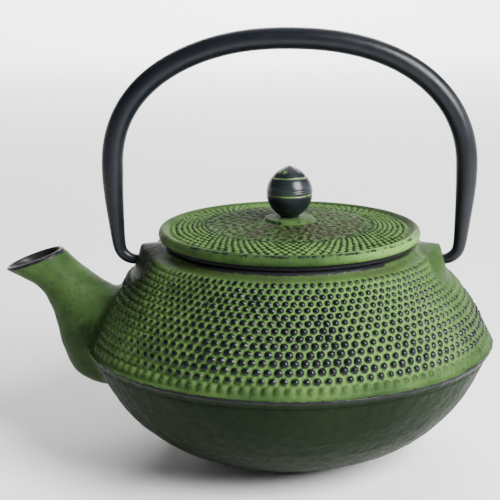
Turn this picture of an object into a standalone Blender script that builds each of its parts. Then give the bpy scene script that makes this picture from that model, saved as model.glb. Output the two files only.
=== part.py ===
"""Cast iron teapot, as the separate pieces it comes apart into.

The pot is one casting: a rounded bowl, a ridge round its widest line, a sloping shoulder,
a spout and two ears.  A loose lid sits on its mouth and carries a knob on a screw.  A bail
hangs in blind holes in the ears.  A stainless steel infuser hangs in the mouth, below the lid.

Metres, +Z up.  The origin is on the pot's axis, at the middle of its flat base, and the
spout points along -X.  Each outline is a list of (radius, height) points about that axis.
"""
import math

import bpy
from mathutils import Vector

MM = 0.001

# ---- driving dimensions -------------------------------------------------------------
SEGMENTS = 64                      # facets round a large turned piece
MIDDLE_SEGMENTS = 48               # facets round the lid and the infuser
SMALL_SEGMENTS = 24                # facets round the knob, the screw and the washer
GAP = 0.3 * MM                     # space left between pieces that touch

RIDGE_RADIUS = 82.5 * MM           # the pot's widest line
RIDGE_TOP = 48.4 * MM
BASE_RADIUS = 27.0 * MM            # the flat disc it stands on
WALL = 3.8 * MM                    # thickness of the casting
RIM_TOP = 86.8 * MM                # the annulus that the lid sits on
RIM_OUTER = 51.2 * MM
RIM_INNER = 46.5 * MM
LEDGE_TOP = 84.0 * MM              # the step that the infuser hangs from
LEDGE_BOTTOM = 80.6 * MM
MOUTH_RADIUS = 42.3 * MM

EAR_CENTRE = 50.0 * MM             # distance from the pot's axis to each ear's own axis
EAR_BOTTOM = 70.0 * MM
EAR_TOP = 86.1 * MM
EAR_TOP_HALF = (9.8 * MM, 13.0 * MM)       # half sizes along X and Y at the ear's top
EAR_SLOPE = (0.377, 0.89)                  # how fast those grow per metre going down
EAR_SIDES = 32
BAIL_AXIS_Z = 79.8 * MM            # height of the bail's pivot line
EAR_HOLE_RADIUS = 2.4 * MM
EAR_HOLE_END = 56.8 * MM           # the blind end, measured from the pot's axis

BAIL_HALF_WIDTH = 70.5 * MM        # the arch's centre line, at its widest
BAIL_ARCH_Z = 117.0 * MM           # height where the arch starts
BAIL_ARCH_RISE = 51.3 * MM
BAIL_ARCH_POWER = 2.2              # a superellipse a little squarer than an oval
BAIL_RADIUS = 4.1 * MM
BAIL_ARCH_STEPS = 13               # points along half the arch
BAIL_LEG_STEPS = 2                 # points between two of the leg's own points

LID_RADIUS = 52.1 * MM
LID_TOP = 93.6 * MM                # height of the top's outer edge
LID_CROWN = 95.1 * MM              # height of the top at the boss
LID_RIM_BOTTOM = 88.3 * MM
LID_EDGE = 1.1 * MM                # rounding of the rim, above and below
LID_SEAT_RADIUS = 49.8 * MM
LID_SKIRT_OUTER = 37.0 * MM
LID_SKIRT_INNER = 34.2 * MM
LID_SKIRT_BOTTOM = 80.2 * MM
LID_UNDERSIDE = 90.2 * MM          # underside of the lid at its centre
BOSS_RADIUS = 9.8 * MM
BOSS_TOP = 96.3 * MM

KNOB_TOP = 118.2 * MM
SCREW_RADIUS = 2.0 * MM
SCREW_HOLE_RADIUS = 2.3 * MM
KNOB_BORE_END = 108.0 * MM

INFUSER_TOP = 85.1 * MM            # top of the flange
INFUSER_FLANGE_RADIUS = 46.0 * MM
INFUSER_COLLAR_OUTER = 41.5 * MM
INFUSER_COLLAR_INNER = 41.0 * MM
INFUSER_COLLAR_BOTTOM = 73.0 * MM
INFUSER_WALL_OUTER = 40.7 * MM
INFUSER_WALL_INNER = 40.2 * MM
INFUSER_BOTTOM = 27.0 * MM
INFUSER_BAND_TOP = 32.5 * MM

# ---- outlines, in millimetres for reading ---------------------------------------------
BOWL_MM = [(27.0, 0.0), (34.5, 2.3), (41.5, 5.0), (53.9, 11.0), (63.1, 18.0), (69.5, 25.0),
           (74.1, 32.0), (77.5, 38.5), (80.0, 44.2)]
SHOULDER_MM = [(78.8, 51.6), (77.8, 53.6), (75.6, 58.4), (72.0, 64.3), (67.4, 70.2),
               (62.2, 76.1), (57.1, 82.0), (55.2, 83.9)]
NECK_MM = [(53.2, 84.9), (52.0, 85.8)]
KNOB_MM = [(4.2, 97.8), (5.5, 99.7), (7.2, 101.7), (8.5, 103.8), (8.95, 106.0), (9.05, 108.2),
           (8.6, 110.3), (7.7, 112.2), (6.3, 114.2), (4.2, 116.3), (2.1, 117.5)]

# The spout's sections, from inside the pot to the lip: the lowest point, the highest point,
# both as (x, z), and half the width in Y.
SPOUT_MM = [((-58.0, 37.0), (-46.0, 58.0), 17.0),
            ((-72.0, 28.0), (-58.0, 64.5), 21.0),
            ((-86.2, 32.6), (-66.0, 66.4), 20.0),
            ((-92.4, 43.8), (-70.7, 68.0), 16.5),
            ((-94.5, 52.6), (-75.2, 70.5), 13.8),
            ((-97.3, 62.0), (-80.7, 74.4), 12.4),
            ((-102.3, 69.3), (-85.6, 78.4), 11.8),
            ((-114.3, 75.8), (-91.2, 84.0), 12.2)]
SPOUT_SIDES = 24
SPOUT_STEPS = 2                    # rings between two of the sections above
SPOUT_LIP_WALL = 2.2 * MM
SPOUT_ROOT_WALL = 6.0 * MM

# The bail's leg, from the blind hole up to the arch: (x, z, bar radius).
BAIL_LEG_MM = [(57.6, 79.8, 1.7), (62.4, 79.8, 1.75), (65.2, 81.2, 2.1), (67.0, 83.6, 2.3),
               (67.9, 86.8, 2.45), (68.7, 91.5, 2.7), (69.5, 98.0, 3.1), (70.1, 105.0, 3.55),
               (70.5, 112.0, 3.9)]


# ---- helpers ----------------------------------------------------------------------------
def clear_scene():
    for obj in list(bpy.data.objects):
        bpy.data.objects.remove(obj, do_unlink=True)


def principled(name, color, metallic, roughness):
    material = bpy.data.materials.new(name)
    material.use_nodes = True
    shader = material.node_tree.nodes["Principled BSDF"]
    shader.inputs["Base Color"].default_value = (*color, 1.0)
    shader.inputs["Metallic"].default_value = metallic
    shader.inputs["Roughness"].default_value = roughness
    return material


def scaled(points):
    """Points given in millimetres, as tuples in metres."""
    return [tuple(value * MM for value in point) for point in points]


def smooth(points, steps):
    """A Catmull-Rom curve through the points, with `steps` spans between two of them."""
    vectors = [Vector(point) for point in points]
    first = vectors[0] * 2 - vectors[1]
    last = vectors[-1] * 2 - vectors[-2]
    padded = [first, *vectors, last]
    result = []
    for before, start, end, after in zip(padded, padded[1:], padded[2:], padded[3:]):
        for step in range(steps):
            t = step / steps
            value = (start * 2 + (end - before) * t
                     + (before * 2 - start * 5 + end * 4 - after) * t ** 2
                     + (start * 3 - before - end * 3 + after) * t ** 3) * 0.5
            result.append(tuple(value))
    result.append(tuple(vectors[-1]))
    return result


def arc(centre, radius, start, end, steps):
    """Points on a circular arc; the angles are in degrees, from +radius towards +height."""
    points = []
    for step in range(steps + 1):
        angle = math.radians(start + (end - start) * step / steps)
        points.append((centre[0] + radius * math.cos(angle), centre[1] + radius * math.sin(angle)))
    return points


def inset(points, distance):
    """An outline that runs outwards and up, moved towards the pot's axis by `distance`."""
    result = []
    for index, (radius, height) in enumerate(points):
        before = points[max(index - 1, 0)]
        after = points[min(index + 1, len(points) - 1)]
        run, rise = after[0] - before[0], after[1] - before[1]
        length = math.hypot(run, rise)
        result.append((radius - rise / length * distance, height + run / length * distance))
    return result


def mesh_object(name, vertices, faces, material):
    mesh = bpy.data.meshes.new(name)
    mesh.from_pydata(vertices, [], faces)
    mesh.validate()
    mesh.update()
    mesh.shade_smooth()
    mesh.set_sharp_from_angle(angle=math.radians(35))
    obj = bpy.data.objects.new(name, mesh)
    bpy.context.collection.objects.link(obj)
    if material:
        mesh.materials.append(material)
    return obj


def lathe(name, outline, material=None, segments=MIDDLE_SEGMENTS):
    """Turn a closed outline about Z.  It runs anticlockwise seen with +radius to the right and
    +Z up.  Points on the axis become one vertex each, and the stretch along it has no faces."""
    vertices, rings = [], []
    for radius, height in outline:
        if radius < 1e-6:
            rings.append([len(vertices)] * segments)
            vertices.append((0.0, 0.0, height))
            continue
        rings.append(list(range(len(vertices), len(vertices) + segments)))
        for step in range(segments):
            angle = 2 * math.pi * step / segments
            vertices.append((radius * math.cos(angle), radius * math.sin(angle), height))
    faces = []
    for lower, upper in zip(rings, rings[1:] + rings[:1]):
        for step in range(segments):
            after = (step + 1) % segments
            corners = [lower[step], lower[after], upper[after], upper[step]]
            face = list(dict.fromkeys(corners))
            if len(face) > 2:
                faces.append(face)
    return mesh_object(name, vertices, faces, material)


def loft(name, rings, material=None):
    """Join rings of points, each anticlockwise seen from the last ring, and cap both ends."""
    count = len(rings[0])
    vertices = [point for ring in rings for point in ring]
    faces = [list(reversed(range(count)))]
    for ring in range(len(rings) - 1):
        low, high = ring * count, (ring + 1) * count
        for step in range(count):
            after = (step + 1) % count
            faces.append([low + step, low + after, high + after, high + step])
    faces.append([(len(rings) - 1) * count + step for step in range(count)])
    return mesh_object(name, vertices, faces, material)


def guide(obj):
    """Mark an operand of a Boolean, which isn't a piece of the teapot."""
    obj.hide_render = True
    obj.display_type = "WIRE"
    return obj


def combine(target, operand, operation):
    modifier = target.modifiers.new(f"{operation.lower()} {operand.name}", "BOOLEAN")
    modifier.operation = operation
    modifier.solver = "EXACT"
    modifier.object = guide(operand)


# ---- the pot ------------------------------------------------------------------------------
def bowl_curve():
    return scaled(BOWL_MM)


def shoulder_curve():
    return scaled(SHOULDER_MM)


def pot_outline():
    """The outside of the casting, filled solid: base, bowl, ridge, shoulder, neck and rim."""
    ridge = [(81.0 * MM, 44.8 * MM), (81.5 * MM, 46.0 * MM), (82.3 * MM, 47.0 * MM),
             (RIDGE_RADIUS, 47.8 * MM), (82.0 * MM, RIDGE_TOP), (80.3 * MM, 49.6 * MM)]
    rim = [(RIM_OUTER, RIM_TOP), (0.0, RIM_TOP)]
    return [(0.0, 0.0), *bowl_curve(), *ridge, *shoulder_curve(), *scaled(NECK_MM), *rim]


def cavity_outline():
    """The space inside: the walls' inner side, the mouth and the infuser's ledge."""
    shell = [point for point in [*bowl_curve(), *shoulder_curve()] if point[1] < LEDGE_BOTTOM]
    inner = inset(shell, WALL)
    inner = [point for point in inner if WALL < point[1] < LEDGE_BOTTOM - 2 * MM]
    above = RIM_TOP + 5 * MM
    mouth = [(MOUTH_RADIUS + 6 * MM, LEDGE_BOTTOM), (MOUTH_RADIUS, LEDGE_BOTTOM),
             (MOUTH_RADIUS, LEDGE_TOP), (RIM_INNER, LEDGE_TOP), (RIM_INNER, above), (0.0, above)]
    return [(0.0, WALL), (BASE_RADIUS - 2 * MM, WALL), *inner, *mouth]


def ellipse_ring(centre, half_x, half_y, height, sides):
    ring = []
    for step in range(sides):
        angle = 2 * math.pi * step / sides
        ring.append((centre + half_x * math.cos(angle), half_y * math.sin(angle), height))
    return ring


def ear(side):
    """A lobe that tapers upwards, an oval in plan; side is +1 or -1 along X."""
    rings = []
    for height, rounding in ((EAR_BOTTOM, 0.0), (EAR_TOP - 1.8 * MM, 0.0),
                             (EAR_TOP - 0.5 * MM, 0.6 * MM), (EAR_TOP, 2.0 * MM)):
        drop = EAR_TOP - height
        half_x = EAR_TOP_HALF[0] + EAR_SLOPE[0] * drop - rounding
        half_y = EAR_TOP_HALF[1] + EAR_SLOPE[1] * drop - rounding
        rings.append(ellipse_ring(side * EAR_CENTRE, half_x, half_y, height, EAR_SIDES))
    return loft("ear_left_form" if side < 0 else "ear_right_form", rings)


def ear_hole(side):
    """The blind hole that a hook of the bail turns in, drilled along X from outside."""
    rings = []
    for distance in (EAR_HOLE_END, EAR_HOLE_END + 20 * MM):
        ring = []
        for step in range(24):
            angle = side * 2 * math.pi * step / 24
            ring.append((side * distance, EAR_HOLE_RADIUS * math.cos(angle),
                         BAIL_AXIS_Z + EAR_HOLE_RADIUS * math.sin(angle)))
        rings.append(ring)
    return loft("ear_hole_left" if side < 0 else "ear_hole_right", rings)


def spout_sections():
    """Smooth (lowest x, lowest z, highest x, highest z, half width) rows along the spout."""
    rows = [(*low, *high, half) for low, high, half in SPOUT_MM]
    return scaled(smooth_rows(rows, SPOUT_STEPS))


def smooth_rows(rows, steps):
    """Catmull-Rom through rows of more than four numbers: each column is smoothed alone."""
    columns = []
    for column in zip(*rows):
        pairs = [(index, value) for index, value in enumerate(column)]
        columns.append([value for _, value in smooth(pairs, steps)])
    return list(zip(*columns))


def spout_ring(section, wall):
    """One oval ring: its long axis joins the section's lowest and highest points."""
    low = Vector((section[0], 0.0, section[1]))
    high = Vector((section[2], 0.0, section[3]))
    centre = (low + high) / 2
    half_height = (high - low) / 2
    half_height *= 1 - wall / half_height.length
    half_width = section[4] - wall
    ring = []
    for step in range(SPOUT_SIDES):
        angle = 2 * math.pi * step / SPOUT_SIDES
        point = centre + half_height * math.cos(angle)
        ring.append((point.x, half_width * math.sin(angle), point.z))
    return ring


def spout_form():
    return loft("spout_form", [spout_ring(section, 0.0) for section in spout_sections()])


def spout_bore():
    """The spout's passage, from inside the pot to just past the lip."""
    sections = spout_sections()
    last = len(sections) - 1
    rings = []
    for index, section in enumerate(sections):
        wall = SPOUT_ROOT_WALL + (SPOUT_LIP_WALL - SPOUT_ROOT_WALL) * index / last
        rings.append(spout_ring(section, wall))
    low = Vector((sections[-1][0], 0.0, sections[-1][1]))
    high = Vector((sections[-1][2], 0.0, sections[-1][3]))
    outward = Vector((low.z - high.z, 0.0, high.x - low.x)).normalized() * 4 * MM
    rings.append([tuple(Vector(point) + outward) for point in rings[-1]])
    return loft("spout_bore", rings)


def make_pot(iron):
    pot = lathe("pot_body", pot_outline(), iron, SEGMENTS)
    combine(pot, spout_form(), "UNION")
    for side in (-1, 1):
        combine(pot, ear(side), "UNION")
    combine(pot, lathe("cavity", cavity_outline(), None, SEGMENTS), "DIFFERENCE")
    combine(pot, spout_bore(), "DIFFERENCE")
    for side in (-1, 1):
        combine(pot, ear_hole(side), "DIFFERENCE")


# ---- the bail -----------------------------------------------------------------------------
def bail_half():
    """(x, z, bar radius) from the right hook's tip to the top of the arch."""
    leg = scaled(smooth(BAIL_LEG_MM, BAIL_LEG_STEPS))
    arch = []
    for step in range(BAIL_ARCH_STEPS + 1):
        angle = math.pi / 2 * step / BAIL_ARCH_STEPS
        x = BAIL_HALF_WIDTH * abs(math.cos(angle)) ** (2 / BAIL_ARCH_POWER)
        z = BAIL_ARCH_Z + BAIL_ARCH_RISE * math.sin(angle) ** (2 / BAIL_ARCH_POWER)
        arch.append((x, z, BAIL_RADIUS))
    return leg + arch


def make_bail(black):
    """A round bar whose ends taper and hook inwards.  Its origin is on the pivot line."""
    half = bail_half()
    mirrored = [(-x, z, radius) for x, z, radius in reversed(half[:-1])]
    curve = bpy.data.curves.new("bail_handle", "CURVE")
    curve.dimensions = "3D"
    curve.bevel_depth = BAIL_RADIUS
    curve.bevel_resolution = 4
    curve.use_fill_caps = True
    spline = curve.splines.new("POLY")
    spline.points.add(len(half) + len(mirrored) - 1)
    for point, (x, z, radius) in zip(spline.points, half + mirrored):
        point.co = (x, 0.0, z - BAIL_AXIS_Z, 1.0)
        point.radius = radius / BAIL_RADIUS
    curve.materials.append(black)
    bail = bpy.data.objects.new("bail_handle", curve)
    bail.location = (0.0, 0.0, BAIL_AXIS_Z)
    bpy.context.collection.objects.link(bail)


# ---- the lid and what is fixed to it ----------------------------------------------------------
def make_lid(iron):
    """A crowned disc with a raised boss, a skirt that enters the mouth, and the screw's hole."""
    boss = [(BOSS_RADIUS, LID_CROWN), (BOSS_RADIUS, BOSS_TOP - 0.4 * MM),
            (BOSS_RADIUS - 0.4 * MM, BOSS_TOP), (SCREW_HOLE_RADIUS, BOSS_TOP)]
    crown = [(LID_RADIUS - LID_EDGE, LID_TOP), (40.0 * MM, 94.1 * MM), (25.0 * MM, 94.8 * MM)]
    low_centre = (LID_RADIUS - LID_EDGE, LID_RIM_BOTTOM + LID_EDGE)
    high_centre = (LID_RADIUS - LID_EDGE, LID_TOP - LID_EDGE)
    edge_low = arc(low_centre, LID_EDGE, -90, 0, 3)
    edge_high = arc(high_centre, LID_EDGE, 0, 60, 2)
    seat = RIM_TOP + GAP
    under = [(SCREW_HOLE_RADIUS, LID_UNDERSIDE), (7.0 * MM, LID_UNDERSIDE),
             (12.0 * MM, 91.2 * MM), (25.0 * MM, 90.6 * MM), (LID_SKIRT_INNER, 89.2 * MM),
             (LID_SKIRT_INNER, LID_SKIRT_BOTTOM), (LID_SKIRT_OUTER, LID_SKIRT_BOTTOM),
             (LID_SKIRT_OUTER, seat), (LID_SEAT_RADIUS, seat),
             (LID_SEAT_RADIUS, LID_RIM_BOTTOM)]
    lathe("lid", [*under, *edge_low, *edge_high, *crown, *boss], iron)


def make_knob(black):
    """A turned knob, round with a low point on top, and a blind threaded hole below."""
    foot = BOSS_TOP + GAP
    body = scaled(KNOB_MM)
    bore = [(0.0, KNOB_BORE_END), (SCREW_HOLE_RADIUS, KNOB_BORE_END), (SCREW_HOLE_RADIUS, foot)]
    outline = [*bore, (4.3 * MM, foot), *body, (0.0, KNOB_TOP)]
    lathe("lid_knob", outline, black, SMALL_SEGMENTS)


def make_screw(steel):
    """The screw that comes up through the lid into the knob, with its washer."""
    washer_top = LID_UNDERSIDE - GAP
    washer_bottom = washer_top - 1.0 * MM
    head_top = washer_bottom - GAP
    washer = [(SCREW_HOLE_RADIUS, washer_bottom), (5.0 * MM, washer_bottom),
              (5.0 * MM, washer_top), (SCREW_HOLE_RADIUS, washer_top)]
    head = arc((0.0, head_top), 3.9 * MM, -90, -25, 5)
    head = [(radius, head_top + (height - head_top) * 0.65) for radius, height in head]
    head[0] = (0.0, head[0][1])
    shank = [(3.9 * MM, head_top), (SCREW_RADIUS, head_top),
             (SCREW_RADIUS, KNOB_BORE_END - 1.2 * MM), (SCREW_RADIUS - 0.6 * MM, KNOB_BORE_END - GAP),
             (0.0, KNOB_BORE_END - GAP)]
    lathe("knob_washer", washer, steel, SMALL_SEGMENTS)
    lathe("knob_screw", [*head, *shank], steel, SMALL_SEGMENTS)


# ---- the infuser ---------------------------------------------------------------------------
def make_infuser(steel, mesh_steel):
    """A flanged collar, a mesh wall, and a band that holds the mesh bottom against the wall."""
    flange_bottom = LEDGE_TOP + GAP
    collar = [(INFUSER_COLLAR_INNER, INFUSER_COLLAR_BOTTOM),
              (INFUSER_COLLAR_OUTER, INFUSER_COLLAR_BOTTOM),
              (INFUSER_COLLAR_OUTER, flange_bottom), (INFUSER_FLANGE_RADIUS, flange_bottom),
              (INFUSER_FLANGE_RADIUS, INFUSER_TOP), (INFUSER_COLLAR_INNER, INFUSER_TOP)]
    lathe("infuser_rim", collar, steel)

    disc_bottom = INFUSER_BOTTOM + 0.5 * MM + GAP
    disc_top = disc_bottom + 0.5 * MM
    disc = [(0.0, disc_bottom), (INFUSER_WALL_INNER, disc_bottom),
            (INFUSER_WALL_INNER, disc_top), (0.0, disc_top)]
    lathe("infuser_bottom", disc, mesh_steel)

    wall_bottom = disc_top + GAP
    wall_top = INFUSER_TOP - 2.0 * MM
    wall = [(INFUSER_WALL_INNER, wall_bottom), (INFUSER_WALL_OUTER, wall_bottom),
            (INFUSER_WALL_OUTER, wall_top), (INFUSER_WALL_INNER, wall_top)]
    lathe("infuser_wall", wall, mesh_steel)

    lip = 37.5 * MM
    band = [(lip, INFUSER_BOTTOM), (INFUSER_COLLAR_OUTER, INFUSER_BOTTOM),
            (INFUSER_COLLAR_OUTER, INFUSER_BAND_TOP), (INFUSER_COLLAR_INNER, INFUSER_BAND_TOP),
            (INFUSER_COLLAR_INNER, INFUSER_BOTTOM + 0.5 * MM), (lip, INFUSER_BOTTOM + 0.5 * MM)]
    lathe("infuser_band", band, steel)


def main():
    clear_scene()
    green_iron = principled("green_cast_iron", (0.11, 0.2, 0.045), 0.0, 0.5)
    black_iron = principled("black_knob", (0.03, 0.035, 0.035), 0.0, 0.3)
    black_bail = principled("black_bail", (0.012, 0.014, 0.018), 0.0, 0.35)
    steel = principled("stainless_steel", (0.62, 0.62, 0.6), 1.0, 0.3)
    mesh_steel = principled("stainless_mesh", (0.5, 0.5, 0.48), 1.0, 0.45)
    make_pot(green_iron)
    make_bail(black_bail)
    make_lid(green_iron)
    make_knob(black_iron)
    make_screw(steel)
    make_infuser(steel, mesh_steel)


main()
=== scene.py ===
"""Looks of the green cast iron teapot: the hobnailed casting, the lid, the knob, the bail and the infuser.

Lengths are in millimetres until make_piece() turns a mesh into metres. Z is up, the pot's axis is
X = Y = 0, its base is at Z = 0 and the spout points along -X, as in the CAD model.
"""
import math

import bpy
import numpy as np
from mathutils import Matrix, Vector


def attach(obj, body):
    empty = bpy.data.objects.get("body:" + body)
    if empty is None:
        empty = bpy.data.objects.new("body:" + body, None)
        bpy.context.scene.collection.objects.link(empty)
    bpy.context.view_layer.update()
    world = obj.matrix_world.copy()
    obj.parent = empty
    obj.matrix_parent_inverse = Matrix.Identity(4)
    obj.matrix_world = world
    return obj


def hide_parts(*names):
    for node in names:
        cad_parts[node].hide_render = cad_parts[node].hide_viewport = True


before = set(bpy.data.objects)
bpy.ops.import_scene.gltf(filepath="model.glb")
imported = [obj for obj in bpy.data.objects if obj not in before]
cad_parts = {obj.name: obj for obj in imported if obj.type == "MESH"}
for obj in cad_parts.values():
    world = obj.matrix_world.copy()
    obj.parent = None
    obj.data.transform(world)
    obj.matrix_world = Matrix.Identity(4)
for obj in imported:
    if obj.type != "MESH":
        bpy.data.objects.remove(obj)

MM = 0.001
TURN = 2 * math.pi
TINY = 1e-6
UP = np.array([0.0, 0.0, 1.0])
HEX_ROW = math.sqrt(3) / 2  # distance between staggered rows, for nails one unit apart

# ---- the pot's casting ----
BASE_RADIUS = 27.0
BOWL = [(27.6, 0.15), (34.5, 2.3), (41.5, 5.0), (53.9, 11.0), (63.1, 18.0), (69.5, 25.0),
        (74.1, 32.0), (77.5, 38.5), (80.05, 44.3)]
RIDGE = [(79.95, 44.9), (80.5, 45.25), (81.25, 45.7), (81.45, 46.2), (81.75, 46.6), (82.3, 47.3),
         (82.5, 47.9), (82.25, 48.4), (81.5, 48.75), (80.3, 49.6), (79.3, 50.8)]
RIDGE_EDGE_Z = 48.4  # the bowl's coarser mesh ends here
SHOULDER = [(78.8, 51.6), (77.8, 53.6), (75.6, 58.4), (72.0, 64.3), (67.4, 70.2), (62.2, 76.1),
            (57.1, 82.0), (55.2, 83.9)]
NECK = [(53.4, 84.75), (52.2, 85.35), (51.4, 86.1), (51.1, 86.6)]
WALL = 3.8
RIM_TOP = 86.8
RIM_OUTER = 50.8
RIM_INNER = 46.5
LEDGE_TOP = 84.0
LEDGE_BOTTOM = 80.6
MOUTH_RADIUS = 42.3
BREAK = 0.4  # how far the edges of the rim and the ledge are broken
RIM = [(RIM_OUTER, RIM_TOP), (RIM_INNER + BREAK, RIM_TOP), (RIM_INNER, RIM_TOP - BREAK),
       (RIM_INNER, LEDGE_TOP + 0.3), (RIM_INNER - 0.3, LEDGE_TOP), (MOUTH_RADIUS + BREAK, LEDGE_TOP),
       (MOUTH_RADIUS, LEDGE_TOP - BREAK), (MOUTH_RADIUS, LEDGE_BOTTOM + 0.3),
       (MOUTH_RADIUS + 0.5, LEDGE_BOTTOM)]

NAILS = 124  # hobnails in each row of the shoulder
NAIL_ROW = 0.835  # distance between the rows, in nail pitches
NAIL_TOP_Z = 83.1
NAIL_LOW_Z = 49.3
NAIL_HEIGHT = 0.42  # as a share of the nails' pitch
NAIL_RADIUS = 0.57  # likewise
NAIL_SEED = 11
NAIL_STEPS = 5  # mesh rows from one row of nails to the next
FINE = NAILS * 6  # mesh columns where the nails are
MIDDLE = 372  # columns round the bowl
COARSE = 125  # columns round the inside
BUMPS = (9.0, 0.06)  # size and height of the shoulder's unevenness
SWELLS = ((14.0, 6), (2.8, 7))  # sizes of the bowl's unevenness, each with its seed
SWELL_HEIGHT = 0.12

EAR_CENTRE = 50.0
EAR_SHIFT = 0.4  # both ears are cast a little towards +X
EAR_TOP = 86.2
EAR_TOP_HALF = 10.3
EAR_SLOPE = 0.27  # how much wider, left to right, for each millimetre down
EAR_DOME = 8.0  # half its depth one millimetre below the top
EAR_FILLET = 2.0
EAR_EDGE = 1.4  # rounding where the flank meets the top
EAR_LIFT = (0.6, 0.8)  # outward and up: the way the shoulder is raised to form an ear
EAR_LOW_Z = 60.0  # the ears' fillets end above this
EAR_PASSES = 18  # how often a point is moved towards the ear's surface
BAIL_AXIS_Z = 79.8
EAR_HOLE_RADIUS = 2.4
EAR_HOLE_END = 56.8

# ---- the spout ----
# Each section's lowest and highest point in XZ, and its half width.
SPOUT = [((-52.0, 40.0), (-40.0, 57.0), 15.0),
         ((-58.0, 37.0), (-46.0, 58.0), 17.0),
         ((-72.0, 28.0), (-58.0, 64.5), 21.0),
         ((-86.2, 32.6), (-66.0, 66.4), 20.0),
         ((-92.4, 43.8), (-70.7, 68.0), 16.5),
         ((-94.5, 52.6), (-75.2, 70.5), 13.8),
         ((-97.3, 62.0), (-80.7, 74.4), 12.4),
         ((-102.3, 69.3), (-85.6, 78.4), 11.2),
         ((-114.3, 75.8), (-91.2, 84.0), 10.6)]
SPOUT_STEPS = 22  # sections between two of those in SPOUT
SPOUT_SIDES = 112
SPOUT_ROWS = 60  # mesh rows from the root's fillet to the lip
SPOUT_FILLET = 2.6  # how far the fillet at the root reaches
FILLET_ROWS = 12
FILLET_PASSES = 6  # how often its points are moved towards the surface
SPOUT_FOOT = 1.3  # how far the root's edge is tucked into the casting
SPOUT_ROOT_WALL = 6.0
SPOUT_LIP_WALL = 1.7
LIP_STEPS = 7
PASSAGE_ROWS = 26
PASSAGE_END = 0.2  # the passage's inner end, as a share of the spout's length
SPOUT_PATCH = (80.0, 16.0, 54.0)  # middle of a rough patch on either flank


def rng(seed):
    return np.random.default_rng(seed)


# ---- curves ----
def table_at(wanted, known, table):
    """Rows of a table at the wanted places, when each of its rows belongs to a known place."""
    return np.stack([np.interp(wanted, known, column) for column in np.asarray(table).T], axis=1)


def path_lengths(points):
    """Distance along a line of points, from its start to each of them."""
    steps = np.linalg.norm(np.diff(points, axis=0), axis=1)
    return np.concatenate([[0.0], np.cumsum(steps)])


def points_at(points, lengths):
    """The points of a line at the given distances along it."""
    return table_at(lengths, path_lengths(points), points)


def smooth_line(points, steps=16):
    """A Catmull-Rom curve through the points."""
    points = np.array(points, float)
    ends = np.vstack([2 * points[0] - points[1], points, 2 * points[-1] - points[-2]])
    share = np.linspace(0, 1, steps, endpoint=False)[:, None]
    pieces = []
    for a, b, c, d in zip(ends, ends[1:], ends[2:], ends[3:]):
        curve = 2 * b + (c - a) * share + (2 * a - 5 * b + 4 * c - d) * share ** 2
        pieces.append((curve + (3 * b - a - 3 * c + d) * share ** 3) / 2)
    return np.vstack([*pieces, points[-1:]])


def even_line(points, step):
    """The same line with its points about one step apart."""
    length = path_lengths(points)[-1]
    count = max(1, round(length / step))
    return points_at(points, np.linspace(0, length, count + 1))


def arc_line(centre, radius, start_deg, end_deg, steps):
    """Part of a circle, as a line of points."""
    angles = np.radians(np.linspace(start_deg, end_deg, steps + 1))
    return np.stack([centre[0] + radius * np.cos(angles), centre[1] + radius * np.sin(angles)], axis=1)


def smooth_step(low, high, value):
    """Climbs smoothly from 0 where the value is low to 1 where it is high."""
    share = np.clip((value - low) / (high - low), 0, 1)
    return share * share * (3 - 2 * share)


def ripple(points, size, seed):
    """A smooth random field, about -1 to 1, with features of the given size."""
    random = rng(seed)
    total = np.zeros(len(points))
    waves = 18
    for _ in range(waves):
        direction = random.normal(size=3)
        direction *= TURN / (size * 2 * np.linalg.norm(direction)) * random.uniform(0.7, 1.5)
        total += np.sin(points @ direction + random.uniform(0, TURN))
    return total / math.sqrt(waves)


# ---- meshes ----
class Shell:
    """A mesh being made: its points, the faces that join them and the number of each face's material."""

    def __init__(self):
        self.points = []
        self.faces = []
        self.kinds = []
        self.count = 0

    def add(self, points):
        """Adds an array of points and returns their numbers in the same layout."""
        points = np.asarray(points, float)
        numbers = np.arange(self.count, self.count + points[..., 0].size).reshape(points.shape[:-1])
        self.points.append(points.reshape(-1, 3))
        self.count += numbers.size
        return numbers

    def grid(self, numbers, kind=0):
        """Quads over rows of points, each of which closes round the shape."""
        right = np.roll(numbers, -1, axis=1)
        quads = np.stack([numbers[:-1], right[:-1], right[1:], numbers[1:]], axis=-1).reshape(-1, 4)
        self.faces.extend(quads.tolist())
        self.kinds.extend([kind] * len(quads))

    def stitch(self, low, high, kind=0):
        """Joins two closed rings that may have different numbers of points."""
        i = j = 0
        while i < len(low) or j < len(high):
            if (i + 1) * len(high) <= (j + 1) * len(low):
                face = [low[i % len(low)], low[(i + 1) % len(low)], high[j % len(high)]]
                i += 1
            else:
                face = [low[i % len(low)], high[(j + 1) % len(high)], high[j % len(high)]]
                j += 1
            self.faces.append([int(n) for n in face])
            self.kinds.append(kind)

    def close(self, ring, centre, end=True, kind=0):
        """Closes a ring with a fan. end is True for the last ring of a shape and False for the first."""
        middle = int(self.add(np.array([centre]))[0])
        following = np.roll(ring, -1)
        for here, after in zip(ring.tolist(), following.tolist()):
            self.faces.append([here, after, middle] if end else [middle, after, here])
            self.kinds.append(kind)

    def all_points(self):
        return np.vstack(self.points)


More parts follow.
